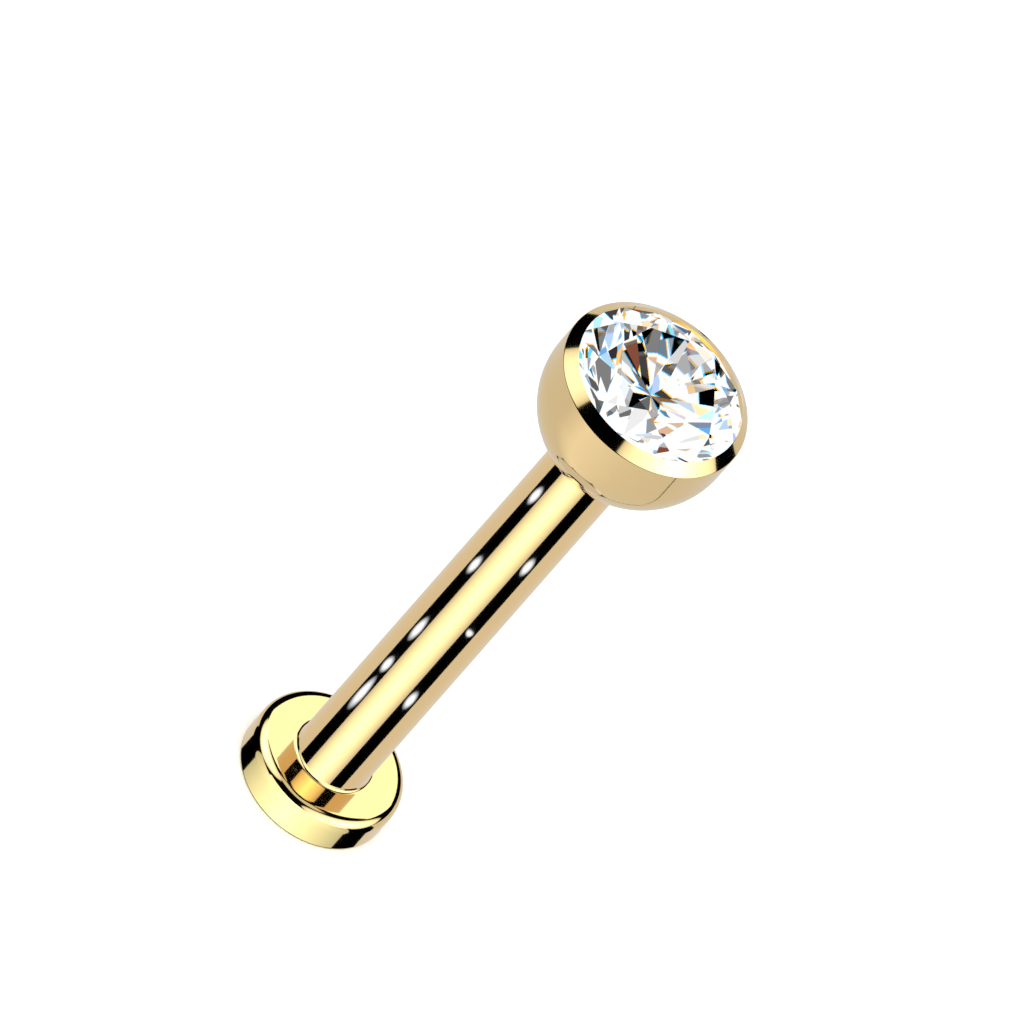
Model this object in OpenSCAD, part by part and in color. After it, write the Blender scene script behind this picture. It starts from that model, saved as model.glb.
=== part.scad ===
// Labret stud: a gold-tone post on a flat disc back, with a bezel cup that holds a round brilliant.
// It stands on its disc, +Z along the post, with the origin at the disc's bottom centre.

/* [Post] */
// Diameter of the post, 16 gauge
post_d = 1.20; // [0.9:0.05:1.7]
// Wearable length, from the disc to the end of the post
post_len = 8.15; // [5:0.05:14]
// Diameter of the blind bore in the post's end
bore_d = 0.56; // [0.3:0.01:0.7]
// Radius of the cove between the post and the disc
cove_r = 0.06; // [0.02:0.01:0.2]

/* [Disc back] */
// Diameter of the disc
disc_d = 2.42; // [2.1:0.02:5]
// Thickness of the disc
disc_t = 0.62; // [0.4:0.02:1.2]
// Radius of the disc's rounded top edge
disc_round = 0.20; // [0.05:0.01:0.3]
// Radius of the disc's bottom edge
disc_edge_r = 0.03; // [0.01:0.01:0.06]

/* [Push pin] */
// Length of the pin inside the post
pin_reach = 5.50; // [2:0.1:7]
// Length of the pin inside the cup
pin_root = 0.16; // [0.1:0.01:0.4]
// Length of the chamfer on each end of the pin
pin_chamfer = 0.05; // [0.01:0.01:0.12]

/* [Bezel cup] */
// Outer diameter of the cup
cup_d = 3.02; // [3:0.02:4]
// Height of the round bottom, from its pole to where the wall turns straight
bowl_h = 1.42; // [1.3:0.01:1.9]
// Height of the straight wall
wall_h = 0.49; // [0.42:0.01:0.8]
// Width of the bevelled rim, seen from above
bevel_w = 0.17; // [0.13:0.01:0.22]
// Height of the bevelled rim
bevel_h = 0.175; // [0.1:0.005:0.3]
// Thickness of the wall outside the stone's girdle
bezel_wall = 0.06; // [0.04:0.01:0.2]
// Radius of the flat floor below the stone's point
well_r = 0.30; // [0.15:0.01:0.5]

/* [Stone] */
// Diameter of the table, corner to corner
table_d = 1.64; // [1.3:0.01:1.9]
// Slope of the crown's kites
crown_angle = 34.85; // [28:0.05:40]
// Diameter of the circle that the star facets' points reach
star_d = 2.145; // [1.9:0.005:2.4]
// Thickness of the girdle
girdle_t = 0.155; // [0.05:0.005:0.2]
// Slope of the pavilion's mains
pavilion_angle = 40.8; // [38:0.05:43]
// Diameter of the circle where the lower girdle facets end
lower_d = 0.56; // [0.4:0.01:1.2]
// Turn of the stone in its cup
stone_turn = 7.0; // [0:0.1:45]
// How far the stone's table stands above the rim
table_rise = 0.22; // [0.1:0.005:0.3]

/* [Fits] */
// Clearance all round the pin
pin_gap = 0.02; // [0.01:0.01:0.05]
// Gap between the post's end and the cup
joint_gap = 0.02; // [0.01:0.01:0.05]
// Clearance round the stone's girdle
stone_gap = 0.02; // [0.01:0.01:0.04]
// Clearance below the stone's point
point_gap = 0.04; // [0.02:0.01:0.15]
// Free space past the pin's end in the post's bore
bore_spare = 0.20; // [0.05:0.05:1]

/* [Hidden] */
$fn = 96;
gold = "goldenrod";
clear = "azure";
post_r = post_d / 2;
disc_r = disc_d / 2;
bore_r = bore_d / 2;
pin_r = bore_r - pin_gap;
cup_r = cup_d / 2;
// The round bottom is cut flat where it is as wide as the post
bowl_flat = bowl_h * sqrt(1 - pow(post_r / cup_r, 2));
post_end = disc_t + post_len;
cup_base = post_end + joint_gap;
wall_base = cup_base + bowl_flat;
rim_z = wall_base + wall_h;
lip_z = rim_z + bevel_h;
lip_r = cup_r - bevel_w;
pin_low = post_end - pin_reach;
pin_high = cup_base + pin_root;
socket_top = pin_high + pin_gap;
// Heights and radii of the stone's rings, from the table down to the point
facets = 8;
step = 360 / facets;
stone_r = cup_r - bezel_wall - stone_gap;
table_r = table_d / 2;
star_r = star_d / 2;
lower_r = lower_d / 2;
table_z = lip_z + table_rise;
star_z = table_z - (star_r * cos(step / 2) - table_r) * tan(crown_angle);
girdle_top = table_z - (stone_r - table_r) * tan(crown_angle);
girdle_low = girdle_top - girdle_t;
point_z = girdle_low - stone_r * tan(pavilion_angle);
lower_z = point_z + lower_r * cos(step / 2) * tan(pavilion_angle);
// The seat under the lip
seat_r = stone_r + stone_gap;
well_z = point_z - point_gap;
bowl_steps = 40;
slack = 1;

// A ring of count points of radius r at height z, the first one turned by turn
function ring(r, z, count, turn) =
    [for (i = [0 : count - 1]) [r * cos(turn + i * 360 / count), r * sin(turn + i * 360 / count), z]];

// Half section of the disc, the cove and the post, without the bore
module post_section() {
    square([disc_r - disc_edge_r, disc_t - disc_round]);
    translate([0, disc_edge_r]) square([disc_r, disc_t - disc_round - disc_edge_r]);
    intersection() {
        translate([disc_r - disc_edge_r, disc_edge_r]) circle(disc_edge_r);
        translate([disc_r - disc_edge_r, 0]) square(disc_edge_r);
    }
    square([disc_r - disc_round, disc_t]);
    intersection() {
        translate([disc_r - disc_round, disc_t - disc_round]) circle(disc_round);
        translate([disc_r - disc_round, disc_t - disc_round]) square(disc_round);
    }
    square([post_r, post_end]);
    difference() {
        translate([post_r, disc_t]) square(cove_r);
        translate([post_r + cove_r, disc_t + cove_r]) circle(cove_r);
    }
}

module labret_post() {
    color(gold)
    difference() {
        rotate_extrude() post_section();
        translate([0, 0, pin_low - bore_spare])
            cylinder(r = bore_r, h = pin_reach + bore_spare + slack);
    }
}

module push_pin() {
    color(gold)
    rotate_extrude() polygon([
        [0, pin_low],
        [pin_r - pin_chamfer, pin_low],
        [pin_r, pin_low + pin_chamfer],
        [pin_r, pin_high - pin_chamfer],
        [pin_r - pin_chamfer, pin_high],
        [0, pin_high]
    ]);
}

// Half section of the cup: the bowl's ellipse, the wall, the bevel, the leaned lip and the seat
module cup_section() {
    flat_turn = acos(post_r / cup_r);
    bowl = [for (i = [0 : bowl_steps])
        let (t = flat_turn * (1 - i / bowl_steps))
        [cup_r * cos(t), wall_base - bowl_h * sin(t)]];
    polygon(concat(
        [[0, cup_base]],
        bowl,
        [
            [cup_r, rim_z],
            [lip_r, lip_z],
            [seat_r, girdle_top + stone_gap],
            [seat_r, girdle_low - stone_gap],
            [well_r, well_z],
            [0, well_z]
        ]
    ));
}

module bezel_cup() {
    color(gold)
    difference() {
        rotate_extrude() cup_section();
        translate([0, 0, cup_base - slack]) cylinder(r = bore_r, h = socket_top - cup_base + slack);
    }
}

// Round brilliant: every facet is flat, because the stars and mains lie in the planes of their kites
module stone() {
    table = ring(table_r, table_z, facets, stone_turn);
    stars = ring(star_r, star_z, facets, stone_turn + step / 2);
    upper = ring(stone_r, girdle_top, 2 * facets, stone_turn);
    lower = ring(stone_r, girdle_low, 2 * facets, stone_turn);
    halves = ring(lower_r, lower_z, facets, stone_turn + step / 2);
    s0 = facets;
    u0 = 2 * facets;
    g0 = 4 * facets;
    h0 = 6 * facets;
    tip = 7 * facets;
    faces = concat(
        [[for (k = [facets - 1 : -1 : 0]) k]],
        [for (k = [0 : facets - 1]) [k, (k + 1) % facets, s0 + k]],
        [for (k = [0 : facets - 1])
            [k, s0 + k, u0 + 2 * k, s0 + (k + facets - 1) % facets]],
        [for (k = [0 : facets - 1]) [s0 + k, u0 + 2 * k + 1, u0 + 2 * k]],
        [for (k = [0 : facets - 1]) [s0 + k, u0 + (2 * k + 2) % (2 * facets), u0 + 2 * k + 1]],
        [for (i = [0 : 2 * facets - 1])
            [u0 + i, u0 + (i + 1) % (2 * facets), g0 + (i + 1) % (2 * facets), g0 + i]],
        [for (k = [0 : facets - 1]) [h0 + k, g0 + 2 * k, g0 + 2 * k + 1]],
        [for (k = [0 : facets - 1]) [h0 + k, g0 + 2 * k + 1, g0 + (2 * k + 2) % (2 * facets)]],
        [for (k = [0 : facets - 1])
            [tip, h0 + (k + facets - 1) % facets, g0 + 2 * k, h0 + k]]
    );
    color(clear) polyhedron(concat(table, stars, upper, lower, halves, [[0, 0, point_z]]), faces);
}

labret_post();
push_pin();
bezel_cup();
stone();
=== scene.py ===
"""Labret stud: polished gold-tone post, disc back and bezel cup, a clear round brilliant, and its studio."""
import math

import bmesh
import bpy
from mathutils import Matrix, Quaternion, Vector

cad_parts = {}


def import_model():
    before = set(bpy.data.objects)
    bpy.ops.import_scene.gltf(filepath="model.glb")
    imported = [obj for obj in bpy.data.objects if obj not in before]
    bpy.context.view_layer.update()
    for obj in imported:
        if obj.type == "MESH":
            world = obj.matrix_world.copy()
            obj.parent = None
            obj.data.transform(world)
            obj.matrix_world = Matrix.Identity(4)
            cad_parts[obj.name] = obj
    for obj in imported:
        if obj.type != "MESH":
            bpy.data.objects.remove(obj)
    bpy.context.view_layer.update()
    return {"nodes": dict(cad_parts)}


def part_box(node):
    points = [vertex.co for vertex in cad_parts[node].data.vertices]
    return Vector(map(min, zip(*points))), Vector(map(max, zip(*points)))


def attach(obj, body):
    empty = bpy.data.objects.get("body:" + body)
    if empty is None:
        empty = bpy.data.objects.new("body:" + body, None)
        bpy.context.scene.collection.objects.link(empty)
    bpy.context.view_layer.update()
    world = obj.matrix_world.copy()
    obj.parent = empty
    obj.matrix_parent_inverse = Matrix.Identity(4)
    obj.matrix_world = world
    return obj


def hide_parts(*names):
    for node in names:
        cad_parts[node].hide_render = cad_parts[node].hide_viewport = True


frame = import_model()

# Sizes that the frame gives
MM = 0.001
_, post_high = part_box("labret_post")
cup_low, cup_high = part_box("bezel_cup")
pin_low, pin_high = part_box("push_pin")
stone_low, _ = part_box("stone")
DISC_R = post_high.x
POST_END = post_high.z
CUP_R = cup_high.x
CUP_BASE = cup_low.z
LIP_Z = cup_high.z
POINT_Z = stone_low.z

# Post and disc back
POST_R = 0.60 * MM
BORE_R = 0.28 * MM
BORE_FLOOR = pin_low.z - 0.20 * MM
DISC_T = 0.62 * MM
DISC_ROUND = 0.20 * MM
DISC_EDGE_R = 0.03 * MM
COVE_R = 0.06 * MM
# The cove is rounded a little short of its flat ends, so that its rings don't meet theirs
COVE_ROUND = COVE_R * 0.98

# Bezel cup
BOWL_H = 1.42 * MM
WALL_H = 0.49 * MM
BEVEL_W = 0.17 * MM
BEVEL_H = 0.175 * MM
RIM_Z = LIP_Z - BEVEL_H
WALL_BASE = RIM_Z - WALL_H
LIP_R = CUP_R - BEVEL_W
SEAT_R = 1.45 * MM
SEAT_HIGH = 10.573 * MM
SEAT_LOW = 10.378 * MM
WELL_R = 0.30 * MM
WELL_Z = POINT_Z - 0.04 * MM
SOCKET_TOP = pin_high.z + 0.02 * MM
RIM_EDGE = 0.010 * MM
# Rings close to a rounding, which keep the faces beside it flat
HOLD = 0.008 * MM

# Fineness of the turned pieces
TURN_STEPS = 256
BOWL_STEPS = 64
ROUND_STEPS = 12
EDGE_STEPS = 3
# Points closer than MERGE are one, and a ring's points lie within NEAR of its radius and height
MERGE = 1e-8
NEAR = 1e-7

# Colours in linear light
GOLD = (0.95, 0.69, 0.346)
GOLD_WARM = (0.93, 0.665, 0.325)
FLOOR_WHITE = (0.93, 0.93, 0.93)

# Unevenness of the polish: patches to the metre, their detail, and the least and most roughness
POLISH_PATCHES = 900.0
POLISH_DETAIL = 3.0
POLISH_HAZE = (0.05, 0.08)

# Camera, as the photo has it: a parallel view from 45 degrees above, leaning with the stud
CAMERA_ELEVATION = 45.0
STUD_LEAN = 41.306
FRAME_WIDTH = 14.805 * MM
FRAME_CENTRE = Vector((-0.396, 0.0, 6.774)) * MM
CAMERA_DISTANCE = 300 * MM

# Studio: how far the tent's walls and the softboxes stand, and the place that they face
TENT_DISTANCE = 100 * MM
STUDIO_DISTANCE = 300 * MM
STUD_MIDDLE = Vector((0.0, 0.0, 5.5)) * MM
# The floor, and the lamp that lights it alone
FLOOR_SIZE = 300 * MM
FLOOR_LAMP = 60 * MM
FLOOR_LEVEL = 7.0
# Brightness of the tent, which each wall has its own share of, and the tints of its walls
TENT_LEVEL = 0.74
FRONT_TINT = (0.97, 1.12, 1.0)
SIDE_TINT = (0.97, 0.985, 1.0)
CUP_TINT = (1.0, 1.03, 1.05)
# Lowest and highest elevation, in degrees, of the walls round the post, the disc's front and the cup
POST_WALLS = (-80, 70)
DISC_WALLS = (-70, 27)
CUP_WALLS = (-78, -5)
# Highest elevation of the wings at the disc's back
DISC_BACK_TOP = {"left": -16, "right": 0}
# Width of the round lamp below the cup, as a share of its distance
CUP_BELOW = 0.44
# The panel behind the stud: its width and height, as shares of its distance, and its brightness
BACK_PANEL = (1.4, 0.48)
BACK_PANEL_LEVEL = 1.35
# White glints on the post: left (-1) or right (1) of its middle, the height and the length, in mm
GLINTS = [
    (-1, 7.86, 0.35), (-1, 5.98, 0.35), (-1, 4.24, 0.47), (-1, 3.27, 0.32), (-1, 2.50, 0.66),
    (1, 6.65, 0.35), (1, 4.85, 0.13), (1, 3.03, 0.35),
]
GLINT_AZIMUTH = 60
GLINT_WIDTH = 0.55 * MM
GLINT_REACH = 1.2 * MM
GLINT_LEVEL = 1.05
# A glint is even up to this share of its reach, and then fades
GLINT_CORE = 0.45
# How strongly the stone bends light inside, and as warm and cool light enter it
STONE_IOR = 2.465
STONE_SPLIT = ((2.435, (1, 0.5, 0)), (2.495, (0, 0.5, 1)))
# A facet mirrors all light inside the stone that it would mirror at least this share of, and no other
STONE_HOLDS = 0.99
# Mirrorings inside the stone before its light is let straight out
STONE_TURNS = 4
# The bright studio that shows through the stone, and the dark flags in it: azimuth, elevation and reach in
# degrees, and the share of light that each holds back. Each is even up to FLAG_CORE of its reach
STONE_STUDIO = 1.08
FLAG_CORE = 0.75
FLAGS = [
    (163, 65, 5, 1.0), (-166, 67, 4, 0.95), (-170, 84, 3, 0.95), (-178, 77, 3, 0.8), (156, 75, 5, 0.3),
    (128, -70, 12, 1.0), (-40, -84, 8, 1.0), (164, -81, 6, 0.95), (-140, -77, 7, 0.6), (-39, 44, 6, 1.0),
    (-118, -48, 4, 0.95), (22, 50, 9, 0.8), (19, 47, 4, 0.97), (-148, 60, 5, 1.0), (-115, 60, 8, 1.0),
    (127, 71, 6, 1.0), (96, 79, 7, 0.6), (75, 67, 4, 0.9), (-53, 52, 5, 0.95), (-50, 47, 5, 0.9),
    (-82, 73, 7, 0.7), (-77, 71, 4, 0.85), (-52, 75, 3, 0.8), (171, 14, 4, 0.8), (-88, 14, 8, 0.85),
    (-66, 13, 8, 0.7), (-163, 44, 9, 0.97), (48, 57, 5, 0.85), (-5, 42, 5, 0.6), (145, 25, 7, 0.65),
    (73, 52, 4, 1.0), (-166, 59, 5, 0.75), (180, 59, 5, 0.6), (66, -31, 4, 0.7), (-119, 17, 8, 0.9),
    (-109, 27, 8, 0.9), (146, 58, 6, 0.75), (-153, 4, 6, 0.9), (-67, -61, 8, 0.95), (134, 65, 5, 0.8),
    (109, 85, 5, 0.8), (35, 56, 3, 0.5), (-65, 63, 4, 0.5), (-111, 80, 5, 0.8), (-128, 34, 6, 0.6),
    (-26, 72, 3, 0.5), (-30, 51, 5, 0.75), (79, 63, 3, 0.6), (139, 31, 5, 0.7), (168, 52, 5, 0.6),
    (-28, 89, 3, 0.6), (-141, 49, 3, 0.75), (2, 45, 3, 0.8), (50, 78, 8, 0.25), (-44, 40, 3, 0.6),
    (-114, -10, 5, 0.95), (-94, -4, 5, 0.4), (-52, 25, 5, 0.6), (-167, 20, 4, 0.6),
    (68, 72, 3, 0.5), (179, -54, 8, 0.2), (-58, 36, 4, 0.4), (-44, 51, 3, 0.55), (90, 60, 3, 0.85),
    (178, 31, 4, 0.8), (164, 77, 2.5, 1.0), (179, 81, 2, 0.35), (95, -86, 3, 0.8),
]
# The coloured gels in it: the same, with the shares of red, green and blue that each holds back
GELS = [
    (-60, 57, 5, (0.78, 0.93, 0.96)), (-43, 62, 4, (0.3, 0.55, 0.7)), (-153, 66, 4, (0.05, 0.15, 0.5)),
    (-6, 42, 4, (0.5, 0.35, 0.0)), (4, 39, 4, (0.55, 0.35, 0.0)), (-149, 55, 3, (0.9, 0.88, 0.75)),
    (70, -78, 3, (0.9, 0.9, 0.75)), (16, 58, 3, (0.5, 0.35, 0.1)), (60, 23, 5, (0.65, 0.55, 0.45)),
    (-139, 29, 4, (0.75, 0.5, 0.4)), (3, 35, 3, (0.5, 0.3, 0.1)), (43, 41, 4, (0.85, 0.6, 0.2)),
    (32, 38, 4, (0.4, 0.05, 0.0)), (-27, 58, 3, (0.05, 0.4, 0.8)),
]
# The glow of the lamp over the stud
TOP_GLOW = [(0.0, (0.75, 0.8, 0.72)), (0.8, (0.7, 0.75, 0.67)), (1.0, (0.0, 0.0, 0.0))]
# How a softbox's glow falls from its hot spot to its edges
SOFTBOX = [
    (0.0, (3.2, 3.4, 3.3)), (0.4, (1.75, 1.85, 1.8)), (0.8, (1.15, 1.25, 1.2)), (0.95, (0.8, 0.85, 0.8)),
    (1.0, (0.0, 0.0, 0.0)),
]


def direction(azimuth, elevation):
    """The way to a point of the studio: azimuth 0 is the camera's side, and + is to the right."""
    a, e = math.radians(azimuth), math.radians(elevation)
    return Vector((math.sin(a) * math.cos(e), -math.cos(a) * math.cos(e), math.sin(e)))


def new_piece(name, bm, material, crease=30.0):
    """Makes a bmesh an object at the origin, smooth but for its edges sharper than crease degrees."""
    bmesh.ops.remove_doubles(bm, verts=bm.verts, dist=MERGE)
    bmesh.ops.recalc_face_normals(bm, faces=bm.faces)
    mesh = bpy.data.meshes.new(name)
    bm.to_mesh(mesh)
    bm.free()
    mesh.shade_smooth()
    mesh.set_sharp_from_angle(angle=math.radians(crease))
    mesh.materials.append(material)
    piece = bpy.data.objects.new(name, mesh)
    bpy.context.scene.collection.objects.link(piece)
    return piece


def chain(bm, points):
    """A line of edges through (radius, height) points in the XZ plane."""
    verts = [bm.verts.new((r, 0.0, z)) for r, z in points]
    edges = [bm.edges.new(pair) for pair in zip(verts, verts[1:])]
    return verts, edges


def turn(bm):
    """Spins all that bm holds once round the stud's axis."""
    bmesh.ops.spin(
        bm, geom=bm.verts[:] + bm.edges[:], cent=(0, 0, 0), axis=(0, 0, 1),
        angle=math.tau, steps=TURN_STEPS, use_merge=True,
    )
    bmesh.ops.remove_doubles(bm, verts=bm.verts, dist=MERGE)


def round_ring(bm, radius, height, size, steps):
    """Rounds the ring of edges at a radius and height."""
    ring = [
        e for e in bm.edges
        if all(abs(v.co.xy.length - radius) < NEAR and abs(v.co.z - height) < NEAR for v in e.verts)
    ]
    bmesh.ops.bevel(
        bm, geom=ring, offset=size, offset_type="OFFSET", affect="EDGES",
        segments=steps, profile=0.5, material=-1,
    )


def post_piece(material):
    """The straight post with its blind bore, down to where the cove ends."""
    bm = bmesh.new()
    chain(bm, [
        (0, DISC_T + COVE_R), (POST_R, DISC_T + COVE_R), (POST_R, POST_END),
        (BORE_R, POST_END), (BORE_R, BORE_FLOOR), (0, BORE_FLOOR),
    ])
    turn(bm)
    return new_piece("post", bm, material)


def disc_piece(material):
    """The disc back, with its rounded top edge and the cove that meets the post."""
    bm = bmesh.new()
    chain(bm, [
        (0, 0), (DISC_R - DISC_EDGE_R - HOLD, 0), (DISC_R, 0), (DISC_R, DISC_EDGE_R + HOLD),
        (DISC_R, DISC_T - DISC_ROUND - HOLD), (DISC_R, DISC_T), (DISC_R - DISC_ROUND - HOLD, DISC_T),
        (POST_R + COVE_R + HOLD, DISC_T), (POST_R, DISC_T), (POST_R, DISC_T + COVE_R), (0, DISC_T + COVE_R),
    ])
    turn(bm)
    round_ring(bm, DISC_R, DISC_T, DISC_ROUND, ROUND_STEPS)
    round_ring(bm, DISC_R, 0, DISC_EDGE_R, EDGE_STEPS)
    round_ring(bm, POST_R, DISC_T, COVE_ROUND, ROUND_STEPS)
    return new_piece("disc_back", bm, material)


def cup_piece(material):
    """The bezel cup: a half round bottom, a short wall, a bevelled rim and the seat inside."""
    bm = bmesh.new()
    bowl_turn = math.acos(POST_R / CUP_R)
    start = bm.verts.new((CUP_R, 0, WALL_BASE))
    bmesh.ops.spin(
        bm, geom=[start], cent=(0, 0, WALL_BASE), axis=(0, 1, 0), angle=bowl_turn, steps=BOWL_STEPS,
    )
    bmesh.ops.scale(
        bm, verts=bm.verts, vec=(1, 1, BOWL_H / CUP_R), space=Matrix.Translation((0, 0, -WALL_BASE)),
    )
    edge = RIM_EDGE + HOLD
    slope = math.hypot(BEVEL_W, BEVEL_H)
    in_step, up_step = edge * BEVEL_W / slope, edge * BEVEL_H / slope
    chain(bm, [
        (CUP_R, WALL_BASE), (CUP_R, WALL_BASE + HOLD), (CUP_R, RIM_Z - edge), (CUP_R, RIM_Z),
        (CUP_R - in_step, RIM_Z + up_step), (LIP_R + in_step, LIP_Z - up_step), (LIP_R, LIP_Z),
        (SEAT_R, SEAT_HIGH), (SEAT_R, SEAT_LOW), (WELL_R, WELL_Z), (0, WELL_Z),
    ])
    chain(bm, [(POST_R, CUP_BASE), (BORE_R, CUP_BASE), (BORE_R, SOCKET_TOP), (0, SOCKET_TOP)])
    bmesh.ops.remove_doubles(bm, verts=bm.verts, dist=MERGE)
    turn(bm)
    round_ring(bm, CUP_R, RIM_Z, RIM_EDGE, EDGE_STEPS)
    round_ring(bm, LIP_R, LIP_Z, RIM_EDGE, EDGE_STEPS)
    return new_piece("bezel", bm, material)


def reckon(tree, operation, *values):
    """One step of arithmetic on numbers and sockets."""
    step = tree.nodes.new("ShaderNodeMath")
    step.operation = operation
    for socket, value in zip(step.inputs, values):
        if isinstance(value, (int, float)):
            socket.default_value = value
        else:
            tree.links.new(value, socket)
    return step.outputs[0]


def reckon_vector(tree, operation, *values):
    """One step of arithmetic on vectors and sockets."""
    step = tree.nodes.new("ShaderNodeVectorMath")
    step.operation = operation
    for socket, value in zip(step.inputs, values):
        if isinstance(value, Vector):
            socket.default_value = value
        else:
            tree.links.new(value, socket)
    return step


def gold_polish():
    """Mirror-polished gold tone, with the faint unevenness that a polishing wheel leaves."""
    material = bpy.data.materials.new("gold_polish")
    material.use_nodes = True
    tree = material.node_tree
    shader = tree.nodes["Principled BSDF"]
    shader.inputs["Metallic"].default_value = 1.0
    place = tree.nodes.new("ShaderNodeTexCoord")
    patches = tree.nodes.new("ShaderNodeTexNoise")
    patches.inputs["Scale"].default_value = POLISH_PATCHES
    patches.inputs["Detail"].default_value = POLISH_DETAIL
    tree.links.new(place.outputs["Object"], patches.inputs["Vector"])
    tone = tree.nodes.new("ShaderNodeMix")
    tone.data_type = "RGBA"
    tone.inputs["A"].default_value = (*GOLD, 1)
    tone.inputs["B"].default_value = (*GOLD_WARM, 1)
    tree.links.new(patches.outputs["Fac"], tone.inputs["Factor"])
    tree.links.new(tone.outputs["Result"], shader.inputs["Base Color"])
    haze = tree.nodes.new("ShaderNodeMapRange")
    haze.inputs["To Min"].default_value = POLISH_HAZE[0]
    haze.inputs["To Max"].default_value = POLISH_HAZE[1]
    tree.links.new(patches.outputs["Fac"], haze.inputs["Value"])
    tree.links.new(haze.outputs["Result"], shader.inputs["Roughness"])
    return material


def clear_brilliant():
    """A clear stone that splits light into warm and cool and mirrors it inside until it can leave."""
    material = bpy.data.materials.new("clear_brilliant")
    material.use_nodes = True
    tree = material.node_tree
    tree.nodes.remove(tree.nodes["Principled BSDF"])

    def bent(bend, colour):
        shader = tree.nodes.new("ShaderNodeBsdfRefraction")
        shader.inputs["Color"].default_value = (*colour, 1)
        shader.inputs["Roughness"].default_value = 0.0
        shader.inputs["IOR"].default_value = bend
        return shader.outputs[0]

    def join(kind, *sources):
        both = tree.nodes.new(kind)
        for socket, source in zip(both.inputs, sources):
            tree.links.new(source, socket)
        return both.outputs[0]

    entering = join("ShaderNodeAddShader", *(bent(bend, colour) for bend, colour in STONE_SPLIT))
    share = tree.nodes.new("ShaderNodeFresnel")
    share.inputs["IOR"].default_value = STONE_IOR
    held = reckon(tree, "GREATER_THAN", share.outputs[0], STONE_HOLDS)
    mirror = tree.nodes.new("ShaderNodeBsdfAnisotropic")
    mirror.inputs["Color"].default_value = (1, 1, 1, 1)
    mirror.inputs["Roughness"].default_value = 0.0
    inside = join("ShaderNodeMixShader", held, bent(STONE_IOR, (1, 1, 1)), mirror.outputs[0])
    side = tree.nodes.new("ShaderNodeNewGeometry")
    facets = join("ShaderNodeMixShader", side.outputs["Backfacing"], entering, inside)
    # Light that has turned often enough goes straight on, and so does what the metal mirrors
    path = tree.nodes.new("ShaderNodeLightPath")
    spent = reckon(tree, "GREATER_THAN", path.outputs["Glossy Depth"], STONE_TURNS - 0.5)
    outside = reckon(tree, "LESS_THAN", path.outputs["Transmission Depth"], 0.5)
    mirrored = reckon(tree, "MULTIPLY", path.outputs["Is Glossy Ray"], outside)
    straight = tree.nodes.new("ShaderNodeBsdfTransparent").outputs[0]
    surface = join("ShaderNodeMixShader", reckon(tree, "MAXIMUM", spent, mirrored), facets, straight)
    tree.links.new(surface, tree.nodes["Material Output"].inputs["Surface"])
    return material


def floor_paint():
    """A pale matt floor."""
    material = bpy.data.materials.new("pale_floor")
    material.use_nodes = True
    shader = material.node_tree.nodes["Principled BSDF"]
    shader.inputs["Base Color"].default_value = (*FLOOR_WHITE, 1)
    shader.inputs["Roughness"].default_value = 1.0
    shader.inputs["Specular IOR Level"].default_value = 0.0
    return material


def lit_group(name, pieces):
    """The pieces that a lamp shines on."""
    group = bpy.data.collections.new(name)
    for piece in pieces:
        group.objects.link(piece)
    return group


def glow(level, tint=(1.0, 1.0, 1.0)):
    """What a lamp gives off, red, green and blue."""
    return tuple(level * part for part in tint)


def lamp(name, group, azimuth, elevation, width, height, distance, towards=STUD_MIDDLE, roll=0.0):
    """A flat lamp that faces a place on the stud, its shader nodes and the spot on it that is seen."""
    light = bpy.data.lights.new(name, "AREA")
    light.shape = "RECTANGLE"
    light.size, light.size_y = width, height
    light.energy = math.pi * width * height
    light.use_nodes = True
    way = direction(azimuth, elevation)
    holder = bpy.data.objects.new(name, light)
    bpy.context.scene.collection.objects.link(holder)
    holder.location = towards + way * distance
    holder.rotation_mode = "QUATERNION"
    holder.rotation_quaternion = way.to_track_quat("Z", "Y") @ Quaternion((0, 0, 1), math.radians(roll))
    holder.visible_camera = False
    holder.light_linking.receiver_collection = group
    spot = light.node_tree.nodes.new("ShaderNodeNewGeometry")
    return holder, light.node_tree, spot.outputs["Parametric"]


def shade(tree, along, glow_from, glow_to):
    """Lets a lamp's glow run evenly from one colour to another as along goes from 0 to 1."""
    fade = tree.nodes.new("ShaderNodeMix")
    fade.data_type = "RGBA"
    fade.clamp_factor = True
    fade.inputs["A"].default_value = (*glow_from, 1)
    fade.inputs["B"].default_value = (*glow_to, 1)
    tree.links.new(along, fade.inputs["Factor"])
    tree.links.new(fade.outputs["Result"], tree.nodes["Emission"].inputs["Color"])


def bloom(tree, spot, centre, reach, stops):
    """Lets a lamp's glow fade outwards: each stop is a share of the reach and the glow there."""
    offset = reckon_vector(tree, "SUBTRACT", spot, Vector((*centre, 0)))
    share = reckon_vector(tree, "DIVIDE", offset.outputs["Vector"], Vector((*reach, 1)))
    length = reckon_vector(tree, "LENGTH", share.outputs["Vector"])
    ramp = tree.nodes.new("ShaderNodeValToRGB")
    points = ramp.color_ramp.elements
    while len(points) < len(stops):
        points.new(0.5)
    for point, (place, colour) in zip(points, stops):
        point.position = place
        point.color = (*colour, 1)
    tree.links.new(length.outputs["Value"], ramp.inputs["Fac"])
    tree.links.new(ramp.outputs["Color"], tree.nodes["Emission"].inputs["Color"])


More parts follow.
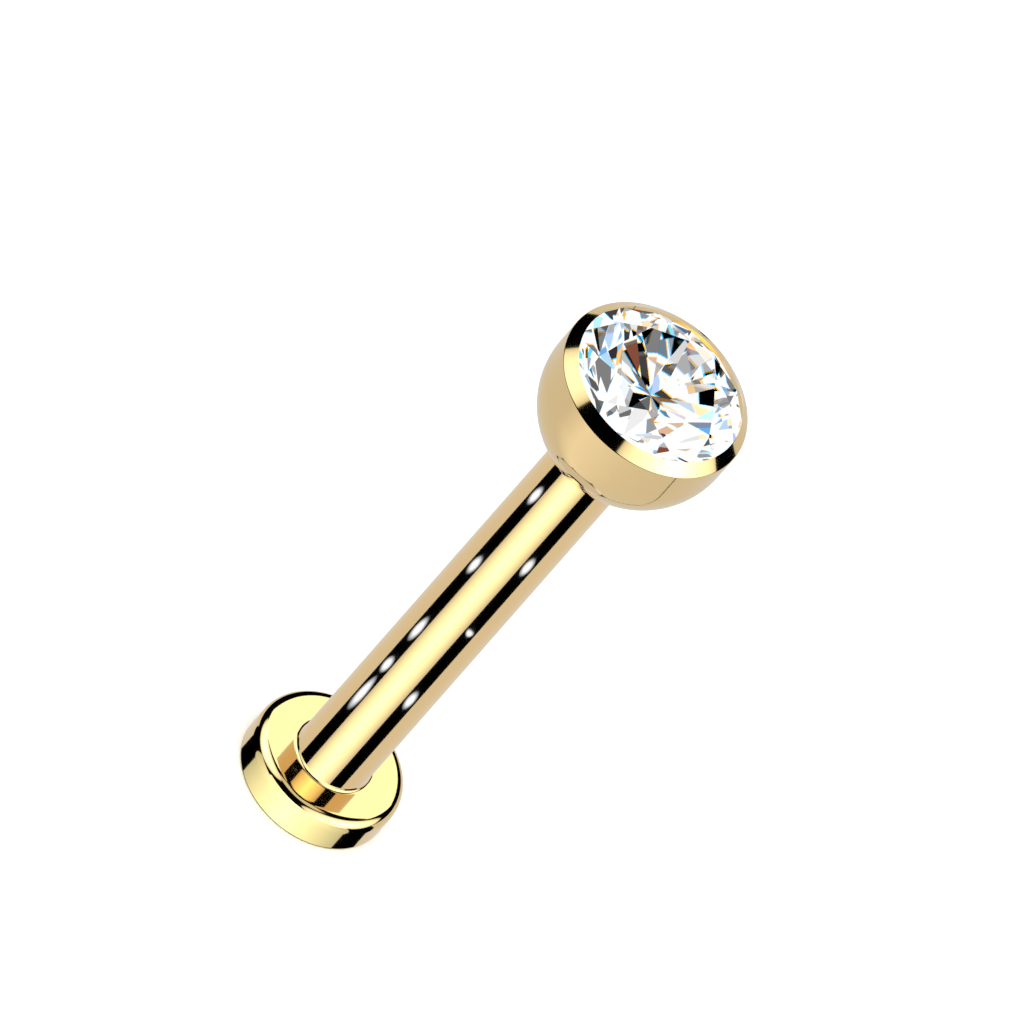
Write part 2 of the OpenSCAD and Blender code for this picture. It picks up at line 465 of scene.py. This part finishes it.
def wall(name, group, az_from, az_to, el_low, el_high, glow_from, glow_to=None):
    """An upright lamp that spans a range of azimuth and elevation as the stud sees it."""
    half = math.tan(math.radians(az_to - az_from) / 2) * TENT_DISTANCE
    low, high = (math.tan(math.radians(e)) * TENT_DISTANCE for e in (el_low, el_high))
    holder, tree, spot = lamp(
        name, group, (az_from + az_to) / 2, 0, 2 * half, high - low, TENT_DISTANCE,
    )
    holder.location.z += (low + high) / 2
    split = tree.nodes.new("ShaderNodeSeparateXYZ")
    tree.links.new(spot, split.inputs[0])
    shade(tree, split.outputs["X"], glow_from, glow_to or glow_from)


def wing(name, group, inner, outer, outer_low, el_low, el_high, glow_inner, glow_outer, spare=0):
    """A wall whose outer edge leans, from azimuth outer level with the stud to outer_low 45 degrees down.

    spare widens the lamp past outer_low, for an edge that leans on further down.
    """
    # The lamp is as wide as the outer edge's farthest place asks
    reach = outer_low + spare if abs(outer_low - inner) > abs(outer - inner) else outer
    middle = (inner + reach) / 2
    near, level, lower = (math.tan(math.radians(a - middle)) for a in (inner, outer, outer_low))
    drop = -1 / math.cos(math.radians(outer_low - middle))
    low, high = (math.tan(math.radians(e)) for e in (el_low, el_high))
    holder, tree, spot = lamp(
        name, group, middle, 0, 2 * abs(near) * TENT_DISTANCE, (high - low) * TENT_DISTANCE, TENT_DISTANCE,
    )
    holder.location.z += (low + high) / 2 * TENT_DISTANCE
    split = tree.nodes.new("ShaderNodeSeparateXYZ")
    tree.links.new(spot, split.inputs[0])
    across = reckon(tree, "MULTIPLY_ADD", split.outputs["X"], 2 * abs(near), -abs(near))
    up = reckon(tree, "MULTIPLY_ADD", split.outputs["Y"], high - low, low)
    edge = reckon(tree, "MULTIPLY_ADD", up, (lower - level) / drop, level)
    along = reckon(
        tree, "DIVIDE", reckon(tree, "SUBTRACT", across, near), reckon(tree, "SUBTRACT", edge, near),
    )
    shade(tree, along, glow_inner, glow_outer)
    # It shines only between its inner edge, along 0, and its outer edge, along 1
    on = reckon(tree, "COMPARE", along, 0.5, 0.5)
    tree.links.new(on, tree.nodes["Emission"].inputs["Strength"])


def softbox(name, group, azimuth, elevation, half_width, half_height, hot, stops, roll=0.0):
    """A lamp above the stud, in degrees, with a hot spot and a glow that falls to its edges."""
    wide, tall = (2 * math.tan(math.radians(a)) for a in (half_width, half_height))
    _, tree, spot = lamp(
        name, group, azimuth, elevation, wide * STUDIO_DISTANCE, tall * STUDIO_DISTANCE, STUDIO_DISTANCE,
        roll=roll,
    )
    bloom(tree, spot, hot, (0.5, 0.5), stops)


def spark(name, group, side, height, length):
    """A small soft lamp that the post mirrors towards the camera as a white glint."""
    azimuth = side * GLINT_AZIMUTH
    start = direction(azimuth / 2, 0) * POST_R + Vector((0, 0, height))
    _, tree, spot = lamp(name, group, azimuth, -CAMERA_ELEVATION, GLINT_WIDTH, length, GLINT_REACH, start)
    white = tuple(GLINT_LEVEL / part for part in GOLD)
    bloom(tree, spot, (0.5, 0.5), (0.5, 0.5), [(GLINT_CORE, white), (1.0, (0, 0, 0))])


def tent(post, disc, cup):
    """The walls round each piece of metal, from level with it down, as it mirrors them."""
    on_post = lit_group("lit_post", [post])
    on_disc = lit_group("lit_disc", [disc])
    on_cup = lit_group("lit_cup", [cup])
    even = glow(TENT_LEVEL)
    for side, sign in (("left", -1), ("right", 1)):
        # Round the post: a bright front, a black gap and an even back
        middle, edge = glow(TENT_LEVEL * 2.60, FRONT_TINT), glow(TENT_LEVEL * 0.96, SIDE_TINT)
        front, back = sorted((0, sign * 43)), sorted((sign * 79, sign * 180))
        wall(f"post_front_{side}", on_post, *front, *POST_WALLS, *(middle, edge)[::sign])
        wall(f"post_back_{side}", on_post, *back, *POST_WALLS, even)
        # Round the disc: the same, spread wider, with edges that lean
        middle, quarter, edge = (glow(TENT_LEVEL * level, FRONT_TINT) for level in (2.50, 1.60, 0.85))
        front, low, top = sorted((0, sign * 45)), DISC_WALLS[0], DISC_BACK_TOP[side]
        wall(f"disc_front_{side}", on_disc, *front, *DISC_WALLS, *(middle, quarter)[::sign])
        wing(f"disc_wing_{side}", on_disc, sign * 45, sign * 75, sign * 88, low, 14, quarter, edge)
        wing(f"disc_back_{side}", on_disc, sign * 180, sign * 105, sign * 125, low, top, even, even)
    # Round the head: even but for a thin dark seam on the right
    tones = {
        name: glow(TENT_LEVEL * level, CUP_TINT)
        for name, level in (("dim", 0.92), ("even", 1.01), ("bright", 1.26), ("below", 0.88))
    }
    wall("cup_back_left", on_cup, -180, -120, *CUP_WALLS, tones["dim"])
    wall("cup_left", on_cup, -120, -60, *CUP_WALLS, tones["dim"])
    wall("cup_front_left", on_cup, -60, -28, *CUP_WALLS, tones["dim"], tones["bright"])
    wall("cup_front", on_cup, -28, 30, *CUP_WALLS, tones["bright"], tones["even"])
    wing("cup_right", on_cup, 30, 65, 90, -79, -5, tones["even"], tones["dim"], spare=28)
    wing("cup_back_right", on_cup, 120, 66.2, 91.2, -78, 0, tones["dim"], tones["dim"])
    wall("cup_back", on_cup, 120, 180, -78, 0, tones["dim"])
    across = CUP_BELOW * TENT_DISTANCE
    below, tree, _ = lamp("cup_below", on_cup, 0, -90, across, across, TENT_DISTANCE)
    below.data.shape = "DISK"
    below.data.energy *= math.pi / 4
    tree.nodes["Emission"].inputs["Color"].default_value = (*tones["below"], 1)


def studio(post, disc, cup, floor):
    """All the lamps: the tent, the softboxes above, the post's glints and the floor's own light."""
    tent(post, disc, cup)
    on_metal = lit_group("lit_metal", [disc, cup])
    softbox("softbox_left", on_metal, -92, 43, 32, 32, (0.5, 0.52), SOFTBOX)
    softbox("softbox_right", on_metal, 72, 39, 48, 32, (0.54, 0.45), SOFTBOX, roll=-20)
    softbox("softbox_top", on_metal, 0, 90, 18, 18, (0.5, 0.5), TOP_GLOW)
    wide, tall = (share * STUDIO_DISTANCE for share in BACK_PANEL)
    _, tree, _ = lamp("back_panel", on_metal, -177, 47, wide, tall, STUDIO_DISTANCE)
    tree.nodes["Emission"].inputs["Color"].default_value = (*glow(BACK_PANEL_LEVEL, FRONT_TINT), 1)
    # Small soft lamps close to the post, which leave white glints in its black bands
    on_glints = lit_group("lit_glints", [post])
    for index, (side, height, length) in enumerate(GLINTS):
        spark(f"glint_{index}", on_glints, side, height * MM, length * MM)
    on_floor = lit_group("lit_floor", [floor])
    _, tree, _ = lamp("floor_light", on_floor, 0, 90, FLOOR_LAMP, FLOOR_LAMP, FLOOR_LAMP)
    tree.nodes["Emission"].inputs["Color"].default_value = (*glow(FLOOR_LEVEL), 1)


def world():
    """White past the floor, dark to the metal, and bright with dark flags and gels through the stone."""
    sky = bpy.data.worlds.new("studio")
    bpy.context.scene.world = sky
    sky.use_nodes = True
    tree = sky.node_tree
    place = tree.nodes.new("ShaderNodeTexCoord")

    def open_share(azimuth, elevation, reach, held):
        along = reckon_vector(tree, "DOT_PRODUCT", place.outputs["Generated"], direction(azimuth, elevation))
        fade = tree.nodes.new("ShaderNodeMapRange")
        fade.interpolation_type = "SMOOTHSTEP"
        fade.inputs["From Min"].default_value = math.cos(math.radians(reach))
        fade.inputs["From Max"].default_value = math.cos(math.radians(reach * FLAG_CORE))
        fade.inputs["To Min"].default_value = 1.0
        fade.inputs["To Max"].default_value = 1.0 - held
        tree.links.new(along.outputs["Value"], fade.inputs["Value"])
        return fade.outputs["Result"]

    light = STONE_STUDIO
    for flag in FLAGS:
        light = reckon(tree, "MULTIPLY", open_share(*flag), light)
    colour = Vector((1, 1, 1))
    for azimuth, elevation, reach, held in GELS:
        share = open_share(azimuth, elevation, reach, 1.0)
        left = reckon_vector(tree, "MULTIPLY_ADD", share, Vector(held), Vector((1, 1, 1)) - Vector(held))
        colour = reckon_vector(tree, "MULTIPLY", colour, left.outputs["Vector"]).outputs["Vector"]
    seen = tree.nodes.new("ShaderNodeLightPath")
    tone = tree.nodes.new("ShaderNodeMix")
    tone.data_type = "RGBA"
    tone.inputs["B"].default_value = (1, 1, 1, 1)
    tree.links.new(seen.outputs["Is Camera Ray"], tone.inputs["Factor"])
    tree.links.new(colour, tone.inputs["A"])
    backdrop = tree.nodes["Background"]
    tree.links.new(tone.outputs["Result"], backdrop.inputs["Color"])
    through = reckon(tree, "GREATER_THAN", seen.outputs["Transmission Depth"], 0.5)
    strength = reckon(tree, "MULTIPLY_ADD", light, through, seen.outputs["Is Camera Ray"])
    tree.links.new(strength, backdrop.inputs["Strength"])


def camera():
    """A parallel camera at the photo's angle, rolled so that the upright stud leans as it does there."""
    lens = bpy.data.cameras.new("camera")
    lens.type = "ORTHO"
    lens.ortho_scale = FRAME_WIDTH
    lens.clip_start, lens.clip_end = 1 * MM, 1000 * MM
    eye = bpy.data.objects.new("camera", lens)
    bpy.context.scene.collection.objects.link(eye)
    back = direction(0, CAMERA_ELEVATION)
    level = back.to_track_quat("Z", "Y")
    roll = Matrix.Rotation(math.radians(STUD_LEAN), 3, "Z")
    eye.rotation_mode = "QUATERNION"
    eye.rotation_quaternion = (level.to_matrix() @ roll).to_quaternion()
    eye.location = FRAME_CENTRE + back * CAMERA_DISTANCE
    bpy.context.scene.camera = eye


gold = gold_polish()
post = post_piece(gold)
disc = disc_piece(gold)
cup = cup_piece(gold)
stone = frame["nodes"]["stone"]
stone.material_slots[0].material = clear_brilliant()
pin = frame["nodes"]["push_pin"]
pin.material_slots[0].material = gold

for piece in (post, disc, cup):
    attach(piece, "root")
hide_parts("labret_post")
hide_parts("labret_post")
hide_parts("bezel_cup")

# Floor
ground = bmesh.new()
bmesh.ops.create_grid(ground, x_segments=1, y_segments=1, size=FLOOR_SIZE)
floor_mesh = bpy.data.meshes.new("floor")
ground.to_mesh(floor_mesh)
ground.free()
floor_mesh.materials.append(floor_paint())
floor = bpy.data.objects.new("floor", floor_mesh)
bpy.context.scene.collection.objects.link(floor)
floor.visible_glossy = False
floor.visible_transmission = False
floor.visible_shadow = False

# Only the post is mirrored in other metal, so its bands run on down and the rim's inside stays light
disc.visible_glossy = False
cup.visible_glossy = False
pin.visible_glossy = False
# The lamps reach the rim's inside through the stone, which shows the studio behind it and not the metal
stone.visible_shadow = False
for hidden in (post, disc, cup, pin):
    hidden.visible_transmission = False

world()
studio(post, disc, cup, floor)
camera()
bpy.context.scene.view_settings.view_transform = "Standard"
